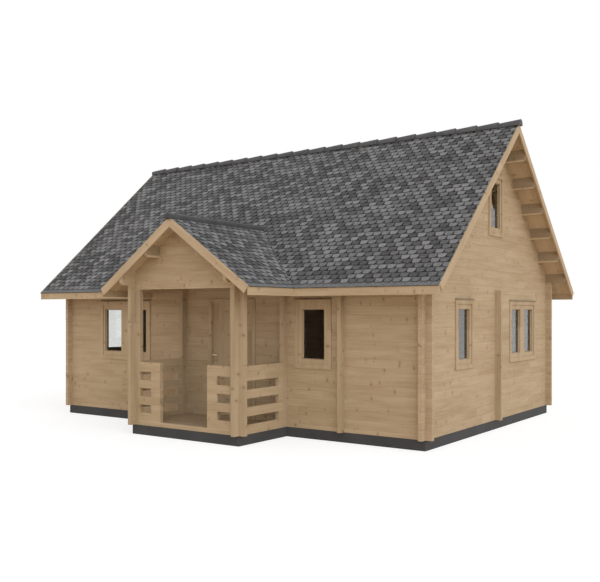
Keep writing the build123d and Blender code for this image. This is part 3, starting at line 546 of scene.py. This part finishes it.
# Painted shade: the porch boards' low tone stands in for the shade under the porch roof.
finish(spruce("spruce_porch_boards", "X", "Y", **FLOOR_BOARDS, tone=0.80), "porch_floor")
finish(spruce("spruce_joinery", "Z", "X", **JOINERY_TIMBER), "front_window_frames",
       "back_window_frames", "left_window_frames", "right_window_frames", "door_frame")
door_boards = spruce("spruce_door_boards", "Z", "X", DOOR_WIDTH / DOOR_BOARDS,
                     DOOR_MIDDLE - DOOR_WIDTH / 2, length=2.6)
finish(door_boards, "front_door")

# %% [markdown]
# ## Stone, glass and metal
# The plinth is dark cast stone. A plain dark grey would look like plastic, so three patterns of
# very different size make it stone: wide soft stains, fine grains and small dark pores.

# %% Stone plinth
PORE_BLACK = (0.02, 0.02, 0.02)


def cast_stone(name, dark, light):
    """Grey cast stone with fine grains, pores and soft stains."""
    material, tree, shader = new_finish(name)
    place = place_on(tree)
    stains = noise(tree, place, scale=2.2, detail=4.0)
    grains = noise(tree, place, scale=160.0, detail=3.0)
    cells = put(tree, "TexVoronoi", {"Vector": place, "Scale": 55.0}, feature="F1")
    pores = ramp(tree, cells.outputs["Distance"], low=0.06, high=0.16, start=0.5, end=0.0)
    share = ramp(tree, weigh(tree, stains, 0.6, grains, 0.5), low=0.3, high=0.85)
    colour = blend_colours(tree, share, dark, light)
    colour = blend_colours(tree, pores, colour, PORE_BLACK)
    tree.links.new(colour, shader.inputs["Base Color"])
    emboss(tree, shader, grains, strength=0.4, distance=0.002)
    rough = ramp(tree, stains, low=0.3, high=0.7, start=0.82, end=0.92)
    tree.links.new(rough, shader.inputs["Roughness"])
    return material


finish(cast_stone("plinth_stone", (0.034, 0.035, 0.037), (0.071, 0.072, 0.076)),
       "house_foundation", "porch_foundation")

# %% [markdown]
# The panes are clear, so the rooms behind them show dark where no light comes in and the sky
# shows where one window stands behind another. Glass that is painted dark would look the same
# from every side. The handle is brass and the hinges are steel, both a little worn.

# %% Glass and metal


def clear_glass():
    """Window glass, a little grey, with a faint ripple."""
    material, tree, shader = new_finish("pane_glass")
    shader.inputs["Base Color"].default_value = (0.86, 0.87, 0.86, 1)
    shader.inputs["Transmission Weight"].default_value = 1.0
    shader.inputs["IOR"].default_value = 1.5
    ripple = noise(tree, place_on(tree), scale=3.0, detail=1.0)
    rough = ramp(tree, ripple, low=0.3, high=0.7, start=0.0, end=0.02)
    tree.links.new(rough, shader.inputs["Roughness"])
    return material


def worn_metal(name, colour, rough):
    """Metal with a fine brushed unevenness."""
    material, tree, shader = new_finish(name)
    wear = noise(tree, place_on(tree), scale=220.0, detail=3.0)
    darker = tuple(0.8 * part for part in colour)
    tree.links.new(blend_colours(tree, wear, colour, darker), shader.inputs["Base Color"])
    uneven = ramp(tree, wear, low=0.3, high=0.7, start=rough, end=rough + 0.12)
    tree.links.new(uneven, shader.inputs["Roughness"])
    shader.inputs["Metallic"].default_value = 1.0
    return material


hinge_steel = worn_metal("hinge_steel", (0.55, 0.55, 0.56), 0.35)
finish(clear_glass(), "window_glass")
finish(worn_metal("handle_brass", (0.94, 0.86, 0.68), 0.20), "door_handles")
finish(hinge_steel, "door_hinge_pins", "door_hinge_sleeves")

# %% [markdown]
# Ridge tiles are moulded and sanded, in the greys of the shingles. Those of the porch are a
# little darker in the picture. Fine sand and wide clouds in equal parts give the mixed grey, and
# the sand alone is raised.

# %% Ridge tiles


def dark_tile(name, dark, light):
    """Dark grey moulded tile with a sanded face."""
    material, tree, shader = new_finish(name)
    place = place_on(tree)
    sand = noise(tree, place, scale=260.0, detail=2.0)
    cloud = noise(tree, place, scale=6.0, detail=3.0)
    share = ramp(tree, weigh(tree, sand, 0.5, cloud, 0.5), low=0.3, high=0.7)
    tree.links.new(blend_colours(tree, share, dark, light), shader.inputs["Base Color"])
    emboss(tree, shader, sand, strength=0.3, distance=0.001)
    rough = ramp(tree, cloud, low=0.3, high=0.7, start=0.62, end=0.78)
    tree.links.new(rough, shader.inputs["Roughness"])
    return material


ridge_grey = dark_tile("ridge_tile_grey", (0.052, 0.053, 0.057), (0.116, 0.118, 0.125))
porch_grey = dark_tile("porch_ridge_grey", (0.030, 0.030, 0.032), (0.078, 0.079, 0.083))
finish(ridge_grey, "main_ridge_cap")
finish(porch_grey, "porch_ridge_cap")

# %% [markdown]
# ## Shingles
# The roof is covered with bitumen shingles cut into round-ended tabs. Each row covers the upper
# part of the row below, and its tabs lie over the joints of that row. One tab is modelled: a
# flat plate with its two lower corners rounded, tipped up so that its lower edge rests on the
# row below. Arrays then lay it out along the eave and up the slope. Each tab keeps its own tone
# as an attribute of its faces, because the sheets are made in mixed greys.

# %% One tab
TAB_WIDTH = 0.149
TAB_LENGTH = 0.235
TAB_CORNER = 0.047
TAB_THICKNESS = 0.0045
TAB_LIFT = 0.0105


def choose(piece, kind, test):
    """Selects the corners, edges or faces of a piece whose corners all pass a test."""
    mesh = piece.data
    for part in (*mesh.vertices, *mesh.edges, *mesh.polygons):
        part.select = False
    if kind == "VERT":
        for corner in mesh.vertices:
            corner.select = test(corner.co)
    else:
        for part in mesh.edges if kind == "EDGE" else mesh.polygons:
            part.select = all(test(mesh.vertices[i].co) for i in part.vertices)
    bpy.ops.object.mode_set(mode="EDIT")
    bpy.ops.mesh.select_mode(type=kind)


def tip(piece, length, lift):
    """Tips a flat piece up at its lower edge."""
    piece.location.z = lift
    piece.rotation_euler.x = -atan2(lift, length)
    settle(piece)


def shaped_tab():
    """One tab at the origin, its lower edge towards -Y, with a map of the tab on its faces."""
    tab = flat_sheet((TAB_WIDTH, TAB_LENGTH), (0, TAB_LENGTH / 2, 0))
    choose(tab, "VERT", lambda co: co.y < TAB_LENGTH / 2)
    bpy.ops.mesh.bevel(offset=TAB_CORNER, offset_type="OFFSET", segments=4, affect="VERTICES")
    bpy.ops.mesh.select_all(action="SELECT")
    bpy.ops.mesh.extrude_region_move(TRANSFORM_OT_translate={"value": (0, 0, TAB_THICKNESS)})
    bpy.ops.mesh.select_all(action="SELECT")
    bpy.ops.mesh.normals_make_consistent(inside=False)
    bpy.ops.object.mode_set(mode="OBJECT")
    tab_map = tab.data.uv_layers.active.data
    for loop in tab.data.loops:
        corner = tab.data.vertices[loop.vertex_index].co
        tab_map[loop.index].uv = (corner.x / TAB_WIDTH + 0.5, corner.y / TAB_LENGTH)
    tip(tab, TAB_LENGTH, TAB_LIFT)
    return tab


print("tab", TAB_WIDTH, "by", TAB_LENGTH)

# %% [markdown]
# Under the first row lies a straight strip of the same sheet. It shows below the tabs as a pale
# band, and its lip, bent down over the eave board, is painted darkest as a thin painted shadow.
# A plane with its lower edge extruded downwards and thickened gives both.

# %% Starter strip
TAB_PITCH = 0.154
STARTER_WIDTH = 0.160
STARTER_LAP = 0.008
STARTER_LIFT = 0.0135
STARTER_LIP = 0.007
STARTER_SHEET = 0.003
STARTER_TONE = 0.55
LIP_PAINTED_SHADOW = -0.8
CLEAR_OF_RIM = (0.5, 0.3)


def thicken(piece, thickness, offset):
    """Gives a sheet its thickness: behind it for -1, before it for 1 and on both sides for 0."""
    pick(piece)
    sheet = piece.modifiers.new("sheet", "SOLIDIFY")
    sheet.thickness = thickness
    sheet.offset = offset
    bpy.ops.object.modifier_apply(modifier=sheet.name)


def set_tones(piece, tones):
    """Keeps one tone for each face of a piece."""
    tone = piece.data.attributes.new("tab_tone", "FLOAT", "FACE")
    tone.data.foreach_set("value", np.asarray(tones, dtype=np.float32))


def starter_strip(length):
    """The strip under the first row, tipped up like a tab, with its lip bent down."""
    strip = flat_sheet((length, STARTER_WIDTH), (length / 2, STARTER_WIDTH / 2, 0))
    choose(strip, "EDGE", lambda co: co.y < STARTER_WIDTH / 2)
    bpy.ops.mesh.extrude_region_move(TRANSFORM_OT_translate={"value": (0, 0, -STARTER_LIP)})
    bpy.ops.object.mode_set(mode="OBJECT")
    for spot in strip.data.uv_layers.active.data:
        spot.uv = CLEAR_OF_RIM
    thicken(strip, STARTER_SHEET, 0)
    faces = strip.data.polygons
    # Painted shadow: the lip faces get a tone below the darkest grey.
    set_tones(strip, [STARTER_TONE if face.normal.z > 0.5 else LIP_PAINTED_SHADOW for face in faces])
    tip(strip, STARTER_WIDTH, STARTER_LIFT)
    strip.location = (-TAB_PITCH, -STARTER_LAP, 0)
    settle(strip)
    return strip


print("starter strip", STARTER_WIDTH, "wide")

# %% [markdown]
# A field of shingles is one row of tabs, a second row moved by half a tab, and both repeated up
# the slope. Laid one by one, thousands of tabs would take minutes, and arrays take a moment. The
# field is larger than its slope, lies flat at first and is then tipped up, turned and cut.

# %% Rows of tabs
ROW_EXPOSURE = 0.1098
FIRST_ROW = 0.083
rng = np.random.default_rng(41)


def repeat(piece, count, step):
    """Copies a piece in a row and makes the copies real."""
    pick(piece)
    array = piece.modifiers.new("row", "ARRAY")
    array.count = count
    array.use_relative_offset = False
    array.use_constant_offset = True
    array.constant_offset_displace = step
    bpy.ops.object.modifier_apply(modifier=array.name)


def join_all(pieces, name):
    """Joins pieces into the first of them."""
    pick(pieces[0])
    for piece in pieces:
        piece.select_set(True)
    bpy.ops.object.join()
    pieces[0].name = name
    return pieces[0]


def shingle_field(name, across, rows):
    """Tabs in staggered rows over a starter strip, with a tone for each."""
    field = shaped_tab()
    field.location.y = FIRST_ROW
    settle(field)
    tab_faces = len(field.data.polygons)
    repeat(field, across, (TAB_PITCH, 0, 0))
    bpy.ops.object.duplicate()
    second = bpy.context.object
    second.location = (-TAB_PITCH / 2, ROW_EXPOSURE, 0)
    settle(second)
    join_all([field, second], name)
    repeat(field, (rows + 1) // 2, (0, 2 * ROW_EXPOSURE, 0))
    tabs = len(field.data.polygons) // tab_faces
    set_tones(field, np.repeat(rng.random(tabs), tab_faces))
    return join_all([field, starter_strip((across + 2) * TAB_PITCH)], name)


def rows_up(eave, pitch):
    """How many rows reach from an eave to the ridge."""
    return int((eave / cos(pitch) - FIRST_ROW) / ROW_EXPOSURE) + 1


def tabs_along(length):
    """How many tabs cover a length of eave, with some to spare at both ends."""
    return int(length / TAB_PITCH) + 3


def lay(piece, corner, pitch, turn):
    """Tips a flat field of shingles up to a slope, turns it and moves its lower left corner."""
    turned = Matrix.Rotation(turn, 4, "Z") @ Matrix.Rotation(pitch, 4, "X")
    piece.matrix_world = Matrix.Translation(corner) @ turned
    settle(piece)


def cut(piece, point, normal):
    """Cuts a piece with a plane and keeps the side that the normal points away from."""
    pick(piece)
    bpy.ops.object.mode_set(mode="EDIT")
    bpy.ops.mesh.select_all(action="SELECT")
    bpy.ops.mesh.bisect(plane_co=point, plane_no=normal, clear_outer=True, use_fill=False)
    bpy.ops.object.mode_set(mode="OBJECT")


print("rows every", ROW_EXPOSURE)

# %% [markdown]
# The tones lie between charcoal and mid grey. Fine sand of mixed greys covers each tab. A tab
# has a painted shadow along its sides and its lower edge, strongest round its corners, and
# painted shade where the next row covers it, which shows in the notches between tabs. The map
# on each tab gives the distance to its edges.

# %% Shingle finish
DARKEST_GREY = (0.020, 0.019, 0.019, 1)
PALEST_GREY = (0.255, 0.259, 0.272, 1)
MIDDLE_GREYS = ((0.16, 0.058), (0.56, 0.132))
RIM_SHADOW_BROWN = (0.024, 0.020, 0.017)


def tab_painted_shade(tree, across, up):
    """The share of a tab's painted shadow along its rim and of the painted shade where the next
    row covers it.
    """
    from_middle = work(tree, "ABSOLUTE", work(tree, "SUBTRACT", across, 0.5))
    from_middle = work(tree, "MULTIPLY", from_middle, TAB_WIDTH)
    height = work(tree, "MULTIPLY", up, TAB_LENGTH)
    out = work(tree, "SUBTRACT", from_middle, TAB_WIDTH / 2 - TAB_CORNER)
    out = work(tree, "MAXIMUM", out, 0.0)
    low = work(tree, "MAXIMUM", work(tree, "SUBTRACT", TAB_CORNER, height), 0.0)
    far = work(tree, "SQRT", weigh(tree, out, out, low, low))
    inside = work(tree, "SUBTRACT", TAB_CORNER, far)
    rim_shadow = ramp(tree, inside, low=0.002, high=0.015, start=0.95, end=0.0)
    paler_above = ramp(tree, height, low=0.050, high=0.100, start=1.0, end=0.45)
    paler_middle = ramp(tree, from_middle, low=0.020, high=0.055, start=0.45, end=1.0)
    rim_shadow = work(tree, "MULTIPLY", work(tree, "MULTIPLY", rim_shadow, paler_above), paler_middle)
    covered_shade = ramp(tree, height, ROW_EXPOSURE - 0.010, ROW_EXPOSURE + 0.004, start=0.0, end=0.85)
    return work(tree, "MAXIMUM", rim_shadow, covered_shade)


def shingle_finish():
    """Sanded bitumen in mixed greys, one tone for each tab and a painted shadow along the rim."""
    material, tree, shader = new_finish("shingle_greys")
    coords = put(tree, "TexCoord", {}).outputs
    tone = put(tree, "Attribute", {}, attribute_name="tab_tone").outputs["Fac"]
    sand = noise(tree, coords["Object"], scale=190.0, detail=2.0)
    cloud = noise(tree, coords["Object"], scale=1.4, detail=3.0)
    patch = noise(tree, coords["Object"], scale=34.0, detail=2.0)
    share = weigh(tree, tone, 0.68, sand, 0.35)
    for pattern, weight in ((cloud, 0.20), (patch, 0.80)):
        share = work(tree, "ADD", share, swing(tree, pattern, weight))
    steps = put(tree, "ValToRGB", {0: work(tree, "ADD", share, 0.12)})
    stops = steps.color_ramp.elements
    stops[0].color = DARKEST_GREY
    stops[1].color = PALEST_GREY
    for position, grey in MIDDLE_GREYS:
        stops.new(position).color = (grey, grey * 1.02, grey * 1.08, 1)
    across, up = put(tree, "SeparateXYZ", {0: coords["UV"]}).outputs[:2]
    rim_shadow = tab_painted_shade(tree, across, up)
    # Painted shadow and shade: the rim and the covered part are darkened to brown-black.
    colour = blend_colours(tree, rim_shadow, steps.outputs[0], RIM_SHADOW_BROWN)
    tree.links.new(colour, shader.inputs["Base Color"])
    emboss(tree, shader, sand, strength=0.5, distance=0.0015)
    rough = ramp(tree, sand, low=0.3, high=0.7, start=0.80, end=0.92)
    tree.links.new(rough, shader.inputs["Roughness"])
    shader.inputs["Specular IOR Level"].default_value = 0.08
    return material


shingles = shingle_finish()
print("finish", shingles.name)

# %% [markdown]
# The slopes are laid from the same tab. They end at the inner sides of the boards along the
# gables, whose top edges stay bare. The front slope and the porch slopes meet in two valleys, so
# the front slope is laid in two halves, and all are cut along the upright planes over the
# valleys.

# %% Main slopes
EAVE_LINE = 3.236
BARGE_INSIDE = 4.477
SHINGLE_LAYER = 0.012
VERGE_LAP = 0.004
FIRST_TAB = 0.085
EAVE_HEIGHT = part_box("front_fascias")[1][2]
DECK_EAVE = EAVE_HEIGHT - SHINGLE_LAYER
PORCH_EAVE = 1.614
VALLEY_RATIO = tan(PORCH_PITCH) / tan(MAIN_PITCH)
VALLEY_BACK = -EAVE_LINE + PORCH_EAVE * VALLEY_RATIO
VALLEY_POINT = (PORCH_CENTRE, VALLEY_BACK, 0)


def ride_slope(piece):
    """Finishes a shingled slope and fixes it to the house."""
    piece.data.materials.clear()
    piece.data.materials.append(shingles)
    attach(piece, "house")
    print(piece.name, len(piece.data.polygons), "faces")


for name, turn, x, y, half in (
        ("shingles_back", pi, BARGE_INSIDE, EAVE_LINE, 0),
        ("shingles_front_left", 0, -BARGE_INSIDE - FIRST_TAB, -EAVE_LINE, -1),
        ("shingles_front_right", 0, -BARGE_INSIDE - FIRST_TAB, -EAVE_LINE, 1)):
    field = shingle_field(name, tabs_along(2 * BARGE_INSIDE), rows_up(EAVE_LINE, MAIN_PITCH))
    lay(field, (x, y, DECK_EAVE), MAIN_PITCH, turn)
    cut(field, (BARGE_INSIDE + VERGE_LAP, 0, 0), (1, 0, 0))
    cut(field, (-BARGE_INSIDE - VERGE_LAP, 0, 0), (-1, 0, 0))
    cut(field, (0, 0, 0), (0, 1 if half else -1, 0))
    if half:
        cut(field, (PORCH_CENTRE, 0, 0), (-half, 0, 0))
        cut(field, VALLEY_POINT, (-half * VALLEY_RATIO, -1, 0))
    ride_slope(field)

# %% [markdown]
# The porch slopes run from the boards of its gable back to the valleys, where they narrow to a
# point. The left slope is laid from the back, so it starts a little behind the valley.

# %% Porch slopes
PORCH_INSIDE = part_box("porch_barge_left")[1][1]
BEHIND_VALLEY = 0.1
for name, turn, side, start in (
        ("shingles_porch_right", pi / 2, 1, PORCH_INSIDE),
        ("shingles_porch_left", -pi / 2, -1, VALLEY_BACK + BEHIND_VALLEY)):
    field = shingle_field(name, tabs_along(VALLEY_BACK - PORCH_INSIDE),
                          rows_up(PORCH_EAVE, PORCH_PITCH))
    lay(field, (PORCH_CENTRE + side * PORCH_EAVE, start, DECK_EAVE), PORCH_PITCH, turn)
    cut(field, (0, PORCH_INSIDE - VERGE_LAP, 0), (0, -1, 0))
    cut(field, (PORCH_CENTRE, 0, 0), (-side, 0, 0))
    cut(field, VALLEY_POINT, (side * VALLEY_RATIO, 1, 0))
    ride_slope(field)

# %% [markdown]
# ## Strips under the ridge tiles
# Ridge tiles stand on strips that close the gap between them and the shingles. An upright plane
# is made for each slope and given its thickness, and the two are joined. A block under the tiles
# would also close the gap, but it would fill the hollow of the ridge.

# %% Ridge strips
STRIP_PLACE = 0.040
STRIP_HEIGHT = 0.050
STRIP_LAP = 0.004
STRIP_SHORTER = 0.06
STRIP_THICKNESS = 0.004
cap_low, cap_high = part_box("main_ridge_cap")
strip_middle = (cap_low[0] + cap_high[0]) / 2
strip_length = cap_high[0] - cap_low[0] - STRIP_SHORTER
halves = []
for side in (1, -1):
    middle = (strip_middle, side * STRIP_PLACE, cap_low[2] + STRIP_LAP - STRIP_HEIGHT / 2)
    halves.append(flat_sheet((strip_length, STRIP_HEIGHT), middle, UPRIGHT))
    thicken(halves[-1], STRIP_THICKNESS, -1)
ridge_strip = join_all(halves, "ridge_strips")
strip_black = dark_tile("ridge_strip_black", (0.016, 0.016, 0.018), (0.035, 0.035, 0.038))
ridge_strip.data.materials.append(strip_black)
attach(ridge_strip, "house")
print(ridge_strip.name, len(ridge_strip.data.polygons), "faces")

# %% [markdown]
# ## Window trim
# A bead holds each pane in its sash, and a strip over each ground-floor window throws off the
# rain; the strip's dark colour is painted shade, for the shadow over the window. The attic
# windows stand under the roof and need none. All are modelled as if every wall were the front
# wall, looking along +Y, and then turned to it, so one list of windows for each wall is enough.

# %% Windows and their walls
GROUND_TOP = 2.296
GROUND_MIDDLE = 1.7265
WINDOW_KINDS = {
    "single": {"width": 0.724, "top": GROUND_TOP, "middle": GROUND_MIDDLE,
               "panes": (0.0,), "pane": (0.440, 0.831)},
    "double": {"width": 1.390, "top": GROUND_TOP, "middle": GROUND_MIDDLE,
               "panes": (-0.342, 0.342), "pane": (0.466, 0.831)},
    "attic": {"middle": 3.9962, "panes": (0.0,), "pane": (0.400, 0.805)},
}
FRONT_FACE = 2.825
GABLE_FACE = 4.065
WINDOW_WALLS = (
    (0, FRONT_FACE, ((-2.415, "double"), (2.030, "single"))),
    (pi / 2, GABLE_FACE, ((-1.390, "single"), (1.367, "double"), (0.0, "attic"))),
    (pi, FRONT_FACE, ((-0.320, "double"), (3.000, "single"))),
    (-pi / 2, GABLE_FACE, ((1.610, "single"), (-1.367, "double"), (0.0, "attic"))),
)
print(sum(len(windows) for _, _, windows in WINDOW_WALLS), "windows")

# %% [markdown]
# A bead is a thin frame, so a plane of the pane's size is inset, its middle is deleted, and the
# rim gets its thickness and eased edges. A drip strip starts as a block, and its upper front
# edge is bevelled to a slope.

# %% Beads and drip strips
BEAD = 0.011
BEAD_EASE = 0.003
GLASS_FACE = 0.046
DRIP_RISE = 0.016
DRIP_STAND = 0.034
DRIP_SLOPE = 0.009


def glazing_bead(place, middle, size):
    """A frame of bead round one pane, with its edges eased, against the glass."""
    bead = flat_sheet(size, (place, GLASS_FACE, middle), UPRIGHT)
    choose(bead, "FACE", lambda co: True)
    bpy.ops.mesh.inset(thickness=BEAD)
    bpy.ops.mesh.delete(type="FACE")
    bpy.ops.object.mode_set(mode="OBJECT")
    thicken(bead, BEAD, 1)
    ease = bead.modifiers.new("ease", "BEVEL")
    ease.width = BEAD_EASE
    ease.segments = 1
    bpy.ops.object.modifier_apply(modifier=ease.name)
    return bead


def drip_strip(place, width, top):
    """A strip over a window, its upper front edge planed to a slope."""
    middle = (place, -DRIP_STAND / 2, top + DRIP_RISE / 2)
    bpy.ops.object.select_all(action="DESELECT")
    bpy.ops.mesh.primitive_cube_add(size=1, location=middle)
    strip = bpy.context.object
    strip.scale = (width, DRIP_STAND, DRIP_RISE)
    settle(strip)
    choose(strip, "EDGE", lambda co: co.y < middle[1] and co.z > middle[2])
    bpy.ops.mesh.bevel(offset=DRIP_SLOPE, segments=1, affect="EDGES")
    bpy.ops.object.mode_set(mode="OBJECT")
    return strip


beads = []
strips = []
for turn, face, windows in WINDOW_WALLS:
    wall = Matrix.Rotation(turn, 4, "Z") @ Matrix.Translation((0, -face, 0))
    for place, kind_name in windows:
        kind = WINDOW_KINDS[kind_name]
        made = [glazing_bead(place + shift, kind["middle"], kind["pane"])
                for shift in kind["panes"]]
        beads += made
        if kind_name != "attic":
            strips.append(drip_strip(place, kind["width"], kind["top"]))
            made.append(strips[-1])
        for piece in made:
            piece.matrix_world = wall
            settle(piece)
print(len(beads), "beads and", len(strips), "drip strips")

# %% [markdown]
# The beads are joined into one piece and the strips into another, since each kind has one finish
# all over: the frames' own spruce for the beads, and a darker one, painted shade, for the strips.

# %% Finish of the window trim
window_beads = join_all(beads, "window_beads")
bead_wood = spruce("spruce_beads", "Z", "X", **JOINERY_TIMBER, tone=1.05)
window_beads.data.materials.append(bead_wood)
drip_strips = join_all(strips, "window_drip_strips")
# Painted shade: the strips' low tone stands in for the shadow over each window.
shade_strip_wood = spruce("spruce_dark_strips", "X", "Z", **WHOLE_TIMBER, length=3.0, tone=0.50)
drip_strips.data.materials.append(shade_strip_wood)
for piece in (window_beads, drip_strips):
    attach(piece, "house")
    print(piece.name, len(piece.data.polygons), "faces")
